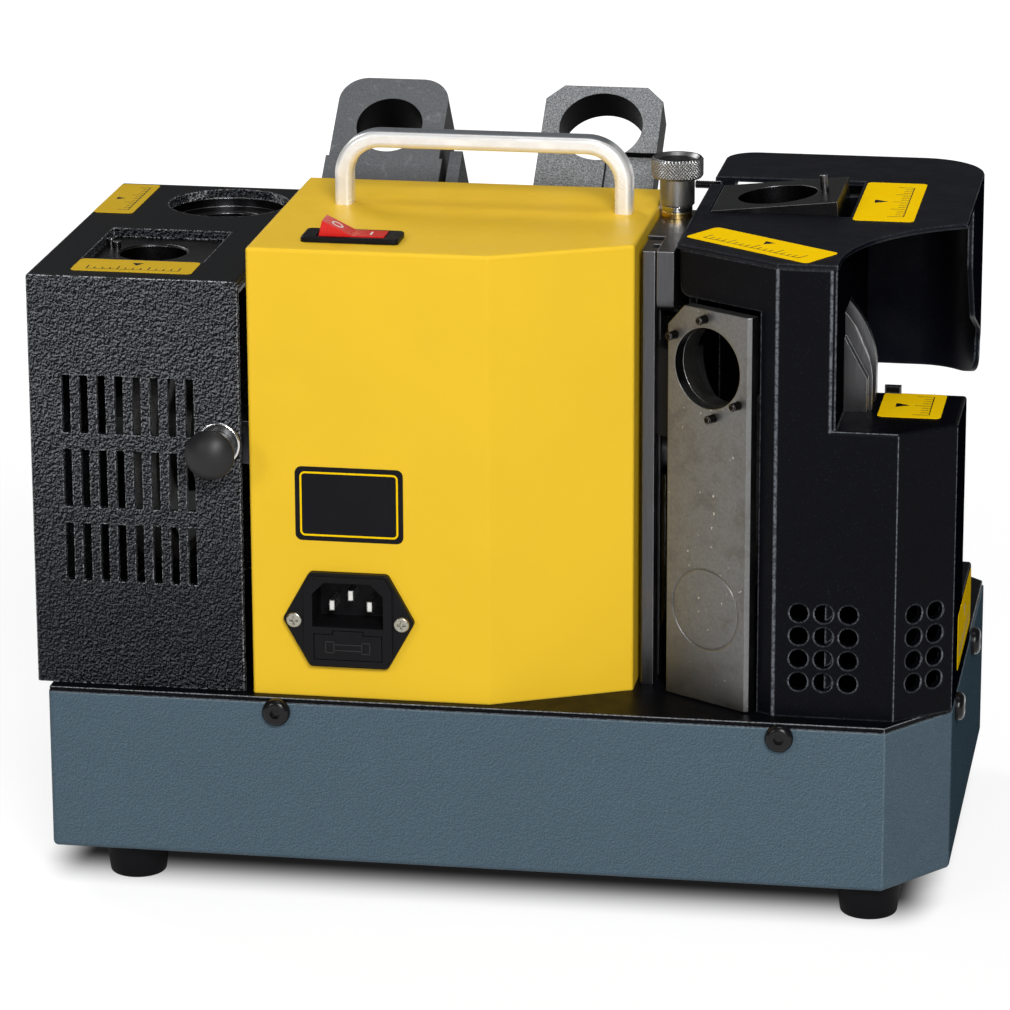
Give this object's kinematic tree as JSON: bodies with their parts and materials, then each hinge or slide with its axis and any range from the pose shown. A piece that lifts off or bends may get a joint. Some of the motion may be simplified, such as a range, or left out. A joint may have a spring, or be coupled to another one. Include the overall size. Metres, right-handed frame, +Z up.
{
  "type": "drill and end mill grinder",
  "caption": "Bench grinder for re-sharpening twist drills and end mills: two wheel stations on one motor shaft, chuck bores, a knob-fed side plate, setting blocks and a carry handle.",
  "frame": {"origin": "on the floor under the feet, below the middle of the whole machine's box", "axes": "+Z up, +X to the right as seen from the mains inlet side, +Y away from it, towards the user"},
  "size_m": [0.3416, 0.2056, 0.2753],
  "materials": {
    "blue_grey_paint": "fine textured coat",
    "grained_black_paint": "coarse leather-grain coat",
    "black_paint": "satin coat",
    "yellow_paint": "fine powder coat",
    "handle_metal": "satin anodised",
    "black_screws": "black oxide",
    "foot_rubber": "matte",
    "blackened_steel": "blackened",
    "grey_phosphate": "speckled phosphate coat",
    "ground_steel": "ground",
    "pin_steel": "turned",
    "knob_steel": "knurled",
    "washer_brass": "turned",
    "ring_chrome": "polished",
    "latch_phenolic": "gloss",
    "switch_black": "moulded",
    "rocker_red": "gloss",
    "zinc_screws": "zinc plated",
    "pin_plate": "tinned",
    "motor_metal": "cast",
    "bearing_steel": "ground",
    "core_steel": "laminated",
    "winding_copper": "varnished",
    "sheet_zinc": "zinc plated",
    "capacitor_grey": "moulded",
    "fan_black": "moulded",
    "hub_aluminium": "turned",
    "abrasive": "resin-bonded abrasive",
    "fuse_glass": "clear"
  },
  "bodies": {
    "machine": {"base_tray": "blue_grey_paint", "left_cover": "grained_black_paint", "deck_plate": "black_paint", "right_housing": "black_paint", "right_hood": "black_paint", "motor_case": "yellow_paint", "case_back_panel": "yellow_paint", "carry_handle": "handle_metal", "base_screws": "black_screws", "foot_screws": "black_screws", "panel_screws": "black_screws", "handle_screws": "black_screws", "stop_screw": "black_screws", "tip_stop_screws": "black_screws", "rubber_feet": "foot_rubber", "left_holder_front": "blackened_steel", "left_holder_rear": "blackened_steel", "top_holder": "blackened_steel", "screw_bracket": "blackened_steel", "slide_rail": "blackened_steel", "latch_catch": "blackened_steel", "end_mill_rest": "blackened_steel", "setting_block_left": "grey_phosphate", "setting_block_right": "grey_phosphate", "setting_post_left": "grey_phosphate", "setting_post_right": "grey_phosphate", "tip_stops": "ground_steel", "locating_pins": "pin_steel", "lock_ring": "knob_steel", "knob_washers": "washer_brass", "latch_ring": "ring_chrome", "switch_bezel": "switch_black", "power_inlet": "switch_black", "inlet_screws": "zinc_screws", "inlet_pins": "pin_plate", "motor_frame": "motor_metal", "motor_end_bells": "motor_metal", "ball_bearings": "bearing_steel", "stator_core": "core_steel", "stator_windings": "winding_copper", "motor_cradle": "sheet_zinc", "capacitor_clip": "sheet_zinc", "run_capacitor": "capacitor_grey"},
    "spindle": {"motor_shaft": "bearing_steel", "rotor": "core_steel", "cooling_fan": "fan_black", "wheel_hubs": "hub_aluminium", "wheel_rims": "abrasive", "wheel_flanges": "bearing_steel", "wheel_nuts": "bearing_steel"},
    "rocker": {"switch_rocker": "rocker_red"},
    "latch": {"latch_knob": "latch_phenolic"},
    "adjuster": {"adjust_knob": "knob_steel", "lead_screw": "knob_steel"},
    "slide": {"carriage": "blackened_steel", "side_plate": "ground_steel", "chuck_sleeve": "ground_steel", "plate_pins": "pin_steel"},
    "drawer": {"fuse_drawer": "switch_black", "fuse": "fuse_glass"}
  },
  "joints": [
    {"name": "spindle_spin", "type": "hinge", "parent": "machine", "child": "spindle", "pos_m": [-0.01955, -0.0185, 0.159], "axis": [1, 0, 0], "continuous": true},
    {"name": "rocker_tilt", "type": "hinge", "parent": "machine", "child": "rocker", "pos_m": [-0.05275, -0.065, 0.2459], "axis": [0, 1, 0], "range_deg": [-26, 0]},
    {"name": "latch_turn", "type": "hinge", "parent": "machine", "child": "latch", "pos_m": [-0.09985, -0.0823, 0.1719], "axis": [0, -1, 0], "range_deg": [0, 90]},
    {"name": "knob_turn", "type": "hinge", "parent": "machine", "child": "adjuster", "pos_m": [0.0563, 0.0052, 0.2464], "axis": [0, 0, -1], "range_deg": [0, 2165]},
    {"name": "plate_lift", "type": "slide", "parent": "machine", "child": "slide", "axis": [0, 0, 1], "range_m": [0, 0.006]},
    {"name": "drawer_slide", "type": "slide", "parent": "machine", "child": "drawer", "axis": [0, -1, 0], "range_m": [0, 0.012]}
  ],
  "couplings": [
    {"joint": "knob_turn", "follows": "plate_lift", "rad_per_m": 6283.2}
  ]
}
